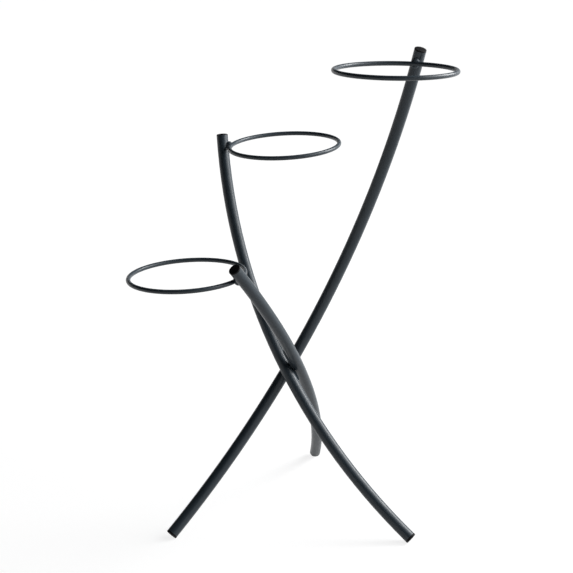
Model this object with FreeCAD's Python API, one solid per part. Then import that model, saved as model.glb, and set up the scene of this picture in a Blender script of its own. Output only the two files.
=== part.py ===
import FreeCAD, Part
import os
from math import asin, cos, degrees, radians, sin, sqrt, tan
from FreeCAD import Vector

# A welded three-pot plant stand: three bent steel tubes cross and touch near the middle, each tube
# stands on one foot and carries one rod ring for a pot below its upper end, and plastic plugs close the tubes.
# Sizes are in millimetres and angles in degrees. X points right, Y points back and Z points up.

# Leg tubes, with their feet evenly spaced on a circle
tube_diameter = 16.0
tube_wall = 1.5
foot_circle_radius = 197.0
first_foot_angle = 201.4

# Middle of the crossing, measured from the middle of the foot circle, and the side where the tall leg passes it
crossing_right = 0.5
crossing_back = 6.0
crossing_height = 214.0
first_crossing_angle = 104.0

# Upper ends of the tubes' centre lines, measured from the middle of the foot circle
tall_top_right = 189.0
tall_top_front = 12.0
tall_top_height = 643.0
middle_top_left = 79.0
middle_top_back = 130.0
middle_top_height = 523.0
short_top_left = 65.0
short_top_front = 115.0
short_top_height = 392.0

# Pot rings: how far each is welded below the end of its leg, and which way its middle lies from the leg
rod_diameter = 6.0
ring_inside_diameter = 147.0
tall_ring_drop = 17.5
tall_ring_heading = 246.0
tall_ring_lean = 3.2
middle_ring_drop = 16.0
middle_ring_heading = 344.0
middle_ring_lean = 2.7
short_ring_drop = 26.0
short_ring_heading = 149.0

# Welds: the gap that the root of a weld fills, the gap of a bead to its bars, and the beads' half sizes
weld_root_gap = 1.0
weld_seat_gap = 0.4
middle_ring_weld_gap = 2.5
ring_weld_half_height = 7.0
ring_weld_half_width = 5.0
crossing_weld_half_length = 9.0
crossing_weld_half_width = 4.0

# End plugs: a round head on the end of the tube and a ribbed stem inside it
top_head_thickness = 2.0
foot_head_thickness = 3.0
foot_flat_depth = 1.2
head_edge_radius = 0.8
head_crown = 0.5
stem_length = 12.0
stem_core_diameter = 9.0
stem_rib_count = 3
stem_rib_thickness = 1.5
stem_clearance = 0.2

# Values worked out from the driving dimensions, and how closely a fit is worked out
UP = Vector(0, 0, 1)
closest_misfit = 0.0001
leg_spacing_angle = 360.0 / 3
tube_radius = tube_diameter / 2
bore_radius = tube_radius - tube_wall
rod_radius = rod_diameter / 2
ring_radius = ring_inside_diameter / 2 + rod_radius


def unit(vector):
    return vector / vector.Length


def heading(angle):
    """Level direction at an angle in degrees, counted from +X towards +Y."""
    return Vector(cos(radians(angle)), sin(radians(angle)), 0)


def disc(middle, normal, radius):
    """Flat round face."""
    return Part.Face(Part.Wire(Part.Circle(middle, normal, radius).toShape()))


def gap_between(first, second):
    """Shortest distance of two edges and the pair of points where it lies."""
    distance, points, _ = first.distToShape(second)
    return distance, points[0]


class Leg:
    """One bent tube, whose centre line is an arc from the floor through the crossing to the leg's upper end."""

    def __init__(self, foot, passing, top):
        chord = top - foot
        curve = Part.Circle(foot, passing, top)
        self.middle = curve.Center
        self.bend_radius = curve.Radius
        self.along = unit(chord)
        self.outward = unit((foot + top) / 2 - self.middle)
        self.half_angle = asin(chord.Length / 2 / self.bend_radius)
        self.length = 2 * self.half_angle * self.bend_radius
        foot_slope = self.direction(0).z
        foot_spread = sqrt(1 - foot_slope ** 2)
        self.foot_end = (tube_radius * foot_spread - foot_flat_depth) / foot_slope
        self.tube_start = self.foot_end + foot_head_thickness
        self.tube_end = self.length - top_head_thickness

    def point(self, distance):
        """Point of the centre line, by the distance along it from the floor."""
        angle = distance / self.bend_radius - self.half_angle
        return self.middle + (self.outward * cos(angle) + self.along * sin(angle)) * self.bend_radius

    def direction(self, distance):
        """Upward direction of the centre line."""
        angle = distance / self.bend_radius - self.half_angle
        return self.along * cos(angle) - self.outward * sin(angle)

    def centre_line(self):
        half = self.length / 2
        return Part.Arc(self.point(0), self.point(half), self.point(self.length)).toShape()

    def swept(self, section, start, end):
        """Solid that a section makes along the centre line."""
        turn = degrees((end - start) / self.bend_radius)
        return section.revolve(self.middle, self.outward.cross(self.along), turn)

    def seat(self):
        """The leg as a solid bar, a seat gap larger all round, which the welds are shaped against."""
        section = disc(self.point(0), self.direction(0), tube_radius + weld_seat_gap)
        return self.swept(section, 0, self.length)

    def tube(self):
        place = self.point(self.tube_start), self.direction(self.tube_start)
        section = disc(*place, tube_radius).cut(disc(*place, bore_radius))
        return self.swept(section.Faces[0], self.tube_start, self.tube_end)


def legs_with_spreads(spreads):
    """The tall, middle and short leg, each passing the middle of the crossing at its own distance."""
    crossing = Vector(crossing_right, crossing_back, crossing_height)
    tops = (
        Vector(tall_top_right, -tall_top_front, tall_top_height),
        Vector(-middle_top_left, middle_top_back, middle_top_height),
        Vector(-short_top_left, -short_top_front, short_top_height),
    )
    legs = []
    for number, top in enumerate(tops):
        turn = number * leg_spacing_angle
        foot = heading(first_foot_angle + turn) * foot_circle_radius
        passing = crossing + heading(first_crossing_angle + turn) * spreads[number]
        legs.append(Leg(foot, passing, top))
    return legs


def crossing_misfit(spreads):
    """How much too far apart each pair of legs is: tall and middle, middle and short, short and tall."""
    tall, middle, short = [leg.centre_line() for leg in legs_with_spreads(spreads)]
    wanted = tube_diameter + weld_root_gap
    pairs = (tall, middle), (middle, short), (short, tall)
    return Vector(*[gap_between(first, second)[0] - wanted for first, second in pairs])


def settled_legs():
    """Spreads the three arcs round the crossing by Newton's method until each pair of tubes meets."""
    first_spread = (tube_diameter + weld_root_gap) / sqrt(3)
    spreads = Vector(first_spread, first_spread, first_spread)
    axes = Vector(1, 0, 0), Vector(0, 1, 0), Vector(0, 0, 1)
    probe = 0.01
    most_rounds = 20
    for _ in range(most_rounds):
        misfit = crossing_misfit(spreads)
        if misfit.Length < closest_misfit:
            break
        slopes = [(crossing_misfit(spreads + axis * probe) - misfit) / probe for axis in axes]
        volume = slopes[0].dot(slopes[1].cross(slopes[2]))
        spreads -= Vector(
            misfit.dot(slopes[1].cross(slopes[2])),
            misfit.dot(slopes[2].cross(slopes[0])),
            misfit.dot(slopes[0].cross(slopes[1])),
        ) / volume
    return legs_with_spreads(spreads)


class PotRing:
    """Rod bent to a closed ring beside a leg."""

    def __init__(self, leg, drop, heading_angle, weld_gap, normal):
        self.normal = unit(normal)
        self.leg_direction = leg.direction(leg.length - drop)
        attachment = leg.point(leg.length - drop)
        aside = heading(heading_angle)
        wanted = tube_radius + rod_radius + weld_gap
        reach = ring_radius + wanted
        misfit = wanted
        while abs(misfit) > closest_misfit:
            self.middle = attachment + aside * reach
            circle = Part.Circle(self.middle, self.normal, ring_radius).toShape()
            distance, points = gap_between(leg.centre_line(), circle)
            misfit = wanted - distance
            reach += misfit
        on_leg, on_ring = points
        self.away_from_leg = unit(on_ring - on_leg)
        self.joint = on_leg + self.away_from_leg * (tube_radius + weld_gap / 2)
        self.towards_leg = unit(on_ring - self.middle)

    def bar(self, radius):
        """Round bar bent about the ring's middle, with its seam on the side away from the leg."""
        start = -self.towards_leg
        section = disc(self.middle + start * ring_radius, self.normal.cross(start), radius)
        return section.revolve(self.middle, self.normal, 360)

    def rod(self):
        return self.bar(rod_radius)

    def weld(self, leg):
        """Weld on the leg, shaped against a bar that is a seat gap larger than the rod all round."""
        size = ring_weld_half_height, ring_weld_half_width
        lump = bead(self.joint, self.away_from_leg, self.leg_direction, *size)
        return lump.cut([leg.seat(), self.bar(rod_radius + weld_seat_gap)])


def bead(middle, normal, along, half_length, half_width):
    """Lump of weld metal between two round bars, long in one direction and with its poles inside the bars."""
    stretch = FreeCAD.Matrix()
    stretch.scale(half_length, half_width, half_width)
    lump = Part.makeSphere(1).transformGeometry(stretch)
    lump.Placement = FreeCAD.Placement(middle, FreeCAD.Rotation(along, Vector(), normal, "ZXY"))
    return lump


def crossing_weld(first, second, legs):
    """Weld in the crease where two legs meet, with its length between their two directions."""
    first_line = first.centre_line()
    second_line = second.centre_line()
    _, (on_first, on_second) = gap_between(first_line, second_line)
    along = Vector()
    for line, point in ((first_line, on_first), (second_line, on_second)):
        along += unit(line.tangentAt(line.Curve.parameter(point)))
    size = crossing_weld_half_length, crossing_weld_half_width
    lump = bead((on_first + on_second) / 2, on_second - on_first, along, *size)
    return lump.cut([leg.seat() for leg in legs])


def plug(head_thickness):
    """Round plug along Z, with its head above the end of the tube at z = 0 and its ribbed stem below."""
    straight = head_thickness - head_edge_radius
    flat_radius = tube_radius - head_edge_radius
    corner = head_edge_radius * sqrt(0.5)
    edge_middle = Vector(flat_radius + corner, 0, straight + corner)
    crown_sphere = (flat_radius ** 2 + head_crown ** 2) / (2 * head_crown)
    half_way = flat_radius / 2
    crown_middle = Vector(
        half_way, 0, head_thickness + head_crown - crown_sphere + sqrt(crown_sphere ** 2 - half_way ** 2)
    )
    seat_middle = Vector(0, 0, 0)
    seat_edge = Vector(tube_radius, 0, 0)
    side_top = Vector(tube_radius, 0, straight)
    face_edge = Vector(flat_radius, 0, head_thickness)
    crown_top = Vector(0, 0, head_thickness + head_crown)
    outline = Part.Wire([
        Part.LineSegment(seat_middle, seat_edge).toShape(),
        Part.LineSegment(seat_edge, side_top).toShape(),
        Part.Arc(side_top, edge_middle, face_edge).toShape(),
        Part.Arc(face_edge, crown_middle, crown_top).toShape(),
        Part.LineSegment(crown_top, seat_middle).toShape(),
    ])
    head = Part.Face(outline).revolve(seat_middle, UP, 360)
    pieces = [Part.makeCylinder(stem_core_diameter / 2, stem_length, Vector(0, 0, -stem_length))]
    rib_pitch = stem_length / stem_rib_count
    for number in range(stem_rib_count):
        rib_place = Vector(0, 0, -rib_pitch * (number + 1))
        pieces.append(Part.makeCylinder(bore_radius - stem_clearance, stem_rib_thickness, rib_place))
    return head.fuse(pieces).removeSplitter()


def top_plug(leg):
    shape = plug(top_head_thickness)
    rotation = FreeCAD.Rotation(UP, leg.direction(leg.tube_end))
    shape.Placement = FreeCAD.Placement(leg.point(leg.tube_end), rotation)
    return shape


def foot_plug(leg):
    """Plug in the lower end, whose edge is cut flat where it stands on the floor."""
    shape = plug(foot_head_thickness)
    rotation = FreeCAD.Rotation(UP, -leg.direction(leg.tube_start))
    shape.Placement = FreeCAD.Placement(leg.point(leg.tube_start), rotation)
    below = tube_diameter
    corner = leg.point(0) - Vector(2 * below, 2 * below, below)
    return shape.cut(Part.makeBox(4 * below, 4 * below, below, corner))


def build_nodes():
    """All pieces of the stand by name."""
    legs = settled_legs()
    tall_leg, middle_leg, short_leg = legs
    tall_normal = Vector(tan(radians(tall_ring_lean)), 0, 1)
    middle_normal = Vector(0, -tan(radians(middle_ring_lean)), 1)
    rings = (
        PotRing(tall_leg, tall_ring_drop, tall_ring_heading, weld_root_gap, tall_normal),
        PotRing(middle_leg, middle_ring_drop, middle_ring_heading, middle_ring_weld_gap, middle_normal),
        PotRing(short_leg, short_ring_drop, short_ring_heading, weld_root_gap, UP),
    )
    nodes = {
        "tall_middle_crossing_weld": crossing_weld(tall_leg, middle_leg, legs),
        "middle_short_crossing_weld": crossing_weld(middle_leg, short_leg, legs),
        "short_tall_crossing_weld": crossing_weld(short_leg, tall_leg, legs),
    }
    for name, leg, ring in zip(("tall", "middle", "short"), legs, rings):
        nodes[name + "_leg_tube"] = leg.tube()
        nodes[name + "_foot_plug"] = foot_plug(leg)
        nodes[name + "_top_plug"] = top_plug(leg)
        nodes[name + "_pot_ring"] = ring.rod()
        nodes[name + "_ring_weld"] = ring.weld(leg)
    return nodes


def main():
    nodes = build_nodes()
    box = Part.makeCompound(list(nodes.values())).optimalBoundingBox(False)
    to_origin = Vector(-box.Center.x, -box.Center.y, 0)
    os.makedirs("parts", exist_ok=True)
    for name, shape in nodes.items():
        shape.translated(to_origin).exportStep("parts/" + name + ".step")
    print("The middle of the foot circle lies at", to_origin)


main()
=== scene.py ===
from math import cos, pi, radians, sin

import bmesh
import bpy
import numpy
from mathutils import Matrix, Vector, noise


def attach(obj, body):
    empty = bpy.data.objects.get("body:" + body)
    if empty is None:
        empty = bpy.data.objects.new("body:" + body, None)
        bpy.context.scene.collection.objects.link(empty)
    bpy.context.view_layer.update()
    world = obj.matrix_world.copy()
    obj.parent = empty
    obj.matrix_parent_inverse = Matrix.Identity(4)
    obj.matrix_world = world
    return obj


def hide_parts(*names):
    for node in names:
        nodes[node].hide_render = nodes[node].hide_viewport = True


# Looks of a welded three-pot plant stand: satin powder coat on bent tubes, rod rings and weld beads,
# and matte black plastic plugs in the tube ends. All lengths are in metres.

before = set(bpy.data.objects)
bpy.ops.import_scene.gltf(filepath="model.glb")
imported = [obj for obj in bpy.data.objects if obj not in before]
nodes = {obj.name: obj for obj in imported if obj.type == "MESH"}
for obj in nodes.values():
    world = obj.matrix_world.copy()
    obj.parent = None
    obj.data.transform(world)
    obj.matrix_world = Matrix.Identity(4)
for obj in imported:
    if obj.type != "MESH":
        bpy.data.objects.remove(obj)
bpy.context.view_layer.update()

LEGS = ("tall", "middle", "short")
COATED = tuple(leg + part for leg in LEGS for part in ("_leg_tube", "_pot_ring"))
PLUGS = tuple(leg + part for leg in LEGS for part in ("_foot_plug", "_top_plug"))
MM = 0.001

# Each weld's bead: its length and width as shares of the plain lump's, and the height of its ripple
BEADS = {
    "tall_ring_weld": (1.0, 1.0, 0.08 * MM),
    "middle_ring_weld": (0.78, 0.9, 0.08 * MM),
    "short_ring_weld": (1.0, 1.0, 0.08 * MM),
    "tall_middle_crossing_weld": (1.0, 0.65, 0.08 * MM),
    "short_tall_crossing_weld": (1.0, 0.65, 0.08 * MM),
    "middle_short_crossing_weld": (3.0, 0.25, 0.02 * MM),
}

# The bead between the middle and short legs is a long thin seam, which lies this far up from its lump.
SEAM = "middle_short_crossing_weld"
SEAM_RISE = 12 * MM


# Helpers for node trees
def new_material(name):
    material = bpy.data.materials.new(name)
    material.use_nodes = True
    tree = material.node_tree
    return material, tree, tree.nodes["Principled BSDF"]


def add_node(tree, kind, **sockets):
    node = tree.nodes.new(kind)
    for name, value in sockets.items():
        node.inputs[name.replace("_", " ")].default_value = value
    return node


def noise_field(tree, size, detail=2.0):
    """Noise in object space whose features are about a given size in metres."""
    place = tree.nodes.new("ShaderNodeTexCoord")
    field = add_node(tree, "ShaderNodeTexNoise", Scale=1 / size, Detail=detail)
    tree.links.new(place.outputs["Object"], field.inputs["Vector"])
    return field.outputs["Fac"]


def ramped(tree, value, low, high, start=0.3, end=0.7):
    """The value's range from start to end, stretched to run from low to high."""
    ramp = add_node(tree, "ShaderNodeMapRange", From_Min=start, From_Max=end, To_Min=low, To_Max=high)
    tree.links.new(value, ramp.inputs["Value"])
    return ramp.outputs["Result"]


def mixed_colour(tree, share, first, second):
    mix = tree.nodes.new("ShaderNodeMix")
    mix.data_type = "RGBA"
    mix.inputs["A"].default_value = (*first, 1)
    mix.inputs["B"].default_value = (*second, 1)
    tree.links.new(share, mix.inputs["Factor"])
    return mix.outputs["Result"]


def bumped(tree, shader, layers):
    """Stacks bump layers, each a height field with its depth in metres, on a shader's normal."""
    normal = None
    for height, depth in layers:
        bump = add_node(tree, "ShaderNodeBump", Distance=depth)
        tree.links.new(height, bump.inputs["Height"])
        if normal is not None:
            tree.links.new(normal, bump.inputs["Normal"])
        normal = bump.outputs["Normal"]
    tree.links.new(normal, shader.inputs["Normal"])


def seen_or_reflected(tree):
    """One for rays from the camera, from a mirror image or through glass, and zero for the light itself."""
    rays = tree.nodes.new("ShaderNodeLightPath")
    seen = rays.outputs["Is Camera Ray"]
    for ray in ("Is Glossy Ray", "Is Transmission Ray"):
        either = tree.nodes.new("ShaderNodeMath")
        either.operation = "MAXIMUM"
        tree.links.new(seen, either.inputs[0])
        tree.links.new(rays.outputs[ray], either.inputs[1])
        seen = either.outputs["Value"]
    return seen


# Materials
def powder_coat(name, least_roughness, most_roughness):
    """Satin anthracite powder coat: a faint orange peel, fine grain and slow changes of tone and gloss."""
    material, tree, shader = new_material(name)
    deep_tone = (0.036, 0.050, 0.062)
    light_tone = (0.043, 0.058, 0.072)
    tone = ramped(tree, noise_field(tree, 40 * MM), 0, 1)
    tree.links.new(mixed_colour(tree, tone, deep_tone, light_tone), shader.inputs["Base Color"])
    gloss = ramped(tree, noise_field(tree, 15 * MM, detail=4), least_roughness, most_roughness)
    tree.links.new(gloss, shader.inputs["Roughness"])
    shader.inputs["Specular IOR Level"].default_value = 0.36
    peel = noise_field(tree, 1.6 * MM, detail=1)
    peel_depth = 0.015 * MM
    grain = noise_field(tree, 0.35 * MM)
    grain_depth = 0.004 * MM
    bumped(tree, shader, ((peel, peel_depth), (grain, grain_depth)))
    return material


def black_plastic():
    """Matte black moulded plastic with a fine spark-eroded grain."""
    material, tree, shader = new_material("matte_black_plastic")
    deep_tone = (0.008, 0.008, 0.009)
    light_tone = (0.011, 0.011, 0.012)
    tone = ramped(tree, noise_field(tree, 6 * MM), 0, 1)
    tree.links.new(mixed_colour(tree, tone, deep_tone, light_tone), shader.inputs["Base Color"])
    least_roughness = 0.52
    most_roughness = 0.64
    gloss = ramped(tree, noise_field(tree, 2 * MM, detail=3), least_roughness, most_roughness)
    tree.links.new(gloss, shader.inputs["Roughness"])
    shader.inputs["Specular IOR Level"].default_value = 0.12
    grain = noise_field(tree, 0.3 * MM, detail=3)
    grain_depth = 0.03 * MM
    bumped(tree, shader, ((grain, grain_depth),))
    return material


def dress(node_names, material):
    """Gives carried-over nodes their finish."""
    for name in node_names:
        slots = nodes[name].data.materials
        slots.clear()
        slots.append(material)


# Weld beads
def main_axes(places):
    """The directions in which a cloud of places spreads, as columns, from the least spread to the most."""
    return numpy.linalg.eigh(numpy.cov(places.T))[1]


def long_axes(shape):
    """A bead's middle, and the directions of its longest extent and its second longest."""
    places = numpy.array([vert.co for vert in shape.verts])
    axes = main_axes(places)
    extents = places @ axes
    middle = axes @ ((extents.min(axis=0) + extents.max(axis=0)) / 2)
    return Vector(middle), Vector(axes[:, 2]), Vector(axes[:, 1])


def stretched(shape, length_share, width_share):
    """Scales a bead along its length and across its width, about its middle."""
    middle, along, across = long_axes(shape)
    for vert in shape.verts:
        place = vert.co - middle
        vert.co += along * along.dot(place) * (length_share - 1)
        vert.co += across * across.dot(place) * (width_share - 1)


def run_past(bar, place):
    """The direction in which a bar runs past a place near it."""
    near = 60 * MM
    places = numpy.array([vert.co for vert in bar.data.vertices if (vert.co - place).length < near])
    return Vector(main_axes(places)[:, 2])


def bent_along(shape, rise, upper_bar, lower_bar):
    """Slides a long bead up its crease, and bends it to run along one bar above and another below."""
    middle, along = long_axes(shape)[:2]
    if along.z < 0:
        along = -along
    upper_run = run_past(upper_bar, middle)
    lower_run = run_past(lower_bar, middle)
    for vert in shape.verts:
        vert.co += along * rise
        height = along.dot(vert.co - middle)
        run = upper_run if height > 0 else lower_run
        vert.co += (run / run.dot(along) - along) * height


def pushed_out(shape, distance_at):
    """Moves each vertex along its normal by a distance that depends on its place."""
    shape.normal_update()
    moves = [vert.normal * distance_at(vert.co) for vert in shape.verts]
    for vert, move in zip(shape.verts, moves):
        vert.co += move


def ripple(place, height):
    """Low waves that a weld pool leaves as it cools, on a slow unevenness."""
    pitch = 2.0 * MM
    lump_size = 3 * MM
    sway = 2.5 * noise.noise(place / lump_size)
    wave = sin(2 * pi * place.z / pitch + sway)
    return height * (wave + sway)


def weld_bead(name, length_share, width_share, ripple_height, material):
    """Rippled bead of weld metal, grown from the plain lump of a weld node until it meets its bars."""
    lump = nodes[name]
    mesh = bpy.data.meshes.new(name + "_bead")
    bead = bpy.data.objects.new(name + "_bead", mesh)
    bead.matrix_world = lump.matrix_world
    bpy.context.scene.collection.objects.link(bead)
    shape = bmesh.new()
    shape.from_mesh(lump.data)
    same_place = 0.001 * MM
    bmesh.ops.remove_doubles(shape, verts=shape.verts, dist=same_place)
    growth = 0.5 * MM
    pushed_out(shape, lambda place: growth)
    stretched(shape, length_share, width_share)
    if name == SEAM:
        bent_along(shape, SEAM_RISE, nodes["short_leg_tube"], nodes["middle_leg_tube"])
    shape.to_mesh(mesh)
    remesh = bead.modifiers.new("even_faces", "REMESH")
    remesh.mode = "VOXEL"
    remesh.voxel_size = 0.3 * MM
    smooth = bead.modifiers.new("smooth", "SMOOTH")
    smooth.iterations = 4
    bpy.context.view_layer.update()
    evened = bead.evaluated_get(bpy.context.evaluated_depsgraph_get()).to_mesh()
    shape.clear()
    shape.from_mesh(evened)
    bead.modifiers.clear()
    pushed_out(shape, lambda place: ripple(place, ripple_height))
    for face in shape.faces:
        face.smooth = True
    shape.to_mesh(mesh)
    shape.free()
    mesh.materials.clear()
    mesh.materials.append(material)
    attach(bead, "root")
    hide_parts(name)


# Stage, light and camera
def surround_mesh(radius, wall_height, sides):
    """Flat floor of many sides with an upright wall along its rim."""
    turns = [2 * pi * side / sides for side in range(sides)]
    corners = [(radius * cos(turn), radius * sin(turn), z) for z in (0, wall_height) for turn in turns]
    nexts = [(side + 1) % sides for side in range(sides)]
    walls = [(side, after, after + sides, side + sides) for side, after in enumerate(nexts)]
    mesh = bpy.data.meshes.new("floor")
    mesh.from_pydata(corners, [], [tuple(range(sides)), *walls])
    return mesh


def pale_floor():
    """Pale matte finish that looks white to the camera and in reflections, and keeps shadows."""
    material, tree, shader = new_material("pale_floor")
    shader.inputs["Base Color"].default_value = (0.25, 0.25, 0.25, 1)
    shader.inputs["Roughness"].default_value = 0.9
    shader.inputs["Specular IOR Level"].default_value = 0
    shader.inputs["Emission Color"].default_value = (1, 1, 1, 1)
    place = tree.nodes.new("ShaderNodeTexCoord")
    reach = tree.nodes.new("ShaderNodeVectorMath")
    reach.operation = "LENGTH"
    tree.links.new(place.outputs["Object"], reach.inputs["Vector"])
    lamplit_glow = 0.84
    lamplit_reach = 0.3
    white_reach = 2.5
    level = ramped(tree, reach.outputs["Value"], lamplit_glow, 1, lamplit_reach, white_reach)
    glow = tree.nodes.new("ShaderNodeMath")
    glow.operation = "MULTIPLY"
    tree.links.new(level, glow.inputs[0])
    tree.links.new(seen_or_reflected(tree), glow.inputs[1])
    tree.links.new(glow.outputs["Value"], shader.inputs["Emission Strength"])
    return material


def white_surround():
    """Floor with a low wall far round it, so that every view has a white background."""
    mesh = surround_mesh(radius=40.0, wall_height=9.5, sides=48)
    mesh.materials.append(pale_floor())
    floor = bpy.data.objects.new("floor", mesh)
    bpy.context.scene.collection.objects.link(floor)


def even_world(strength):
    """Faint cool light from all round."""
    world = bpy.data.worlds.new("studio")
    bpy.context.scene.world = world
    world.use_nodes = True
    background = world.node_tree.nodes["Background"]
    background.inputs["Color"].default_value = (0.82, 1.0, 1.18, 1)
    background.inputs["Strength"].default_value = strength


def soft_box(name, azimuth, elevation, width, height, level):
    """Large soft lamp aimed at the stand; at level 1, a surface that faces it shows its own colour."""
    target = Vector((0, 0, 0.3))
    distance = 2.2
    away = Vector((cos(elevation) * cos(azimuth), cos(elevation) * sin(azimuth), sin(elevation)))
    data = bpy.data.lights.new(name, "AREA")
    data.shape = "RECTANGLE"
    data.size = width
    data.size_y = height
    data.energy = level * (pi * distance) ** 2
    lamp = bpy.data.objects.new(name, data)
    bpy.context.scene.collection.objects.link(lamp)
    lamp.location = target + away * distance
    lamp.rotation_euler = away.to_track_quat("Z", "Y").to_euler()


def camera():
    """Camera fitted to the reference picture: its place, its downward tilt and its roll."""
    picture_width = 573
    focal_pixels = 1318.07
    place = (-0.00964, -1.73453, 0.83163)
    downward_tilt = radians(16.191)
    roll = radians(-3.190)
    data = bpy.data.cameras.new("camera")
    data.sensor_width = 36.0
    data.lens = data.sensor_width * focal_pixels / picture_width
    item = bpy.data.objects.new("camera", data)
    bpy.context.scene.collection.objects.link(item)
    tilted = Matrix.Rotation(pi / 2 - downward_tilt, 4, "X")
    rolled = Matrix.Rotation(roll, 4, "Z")
    item.matrix_world = Matrix.Translation(place) @ tilted @ rolled
    bpy.context.scene.camera = item


coat = powder_coat("satin_powder_coat", least_roughness=0.32, most_roughness=0.39)
weld_coat = powder_coat("powder_coat_on_welds", least_roughness=0.52, most_roughness=0.62)
dress(COATED + tuple(BEADS), coat)
dress(PLUGS, black_plastic())
for weld, bead_shape in BEADS.items():
    weld_bead(weld, *bead_shape, weld_coat)

white_surround()
even_world(strength=0.03)
soft_box("wide_box", azimuth=radians(-5), elevation=radians(32), width=2.6, height=1.8, level=0.9)
soft_box("key_box", azimuth=radians(17), elevation=radians(33), width=1.1, height=1.1, level=0.95)
camera()
bpy.context.scene.view_settings.view_transform = "Standard"
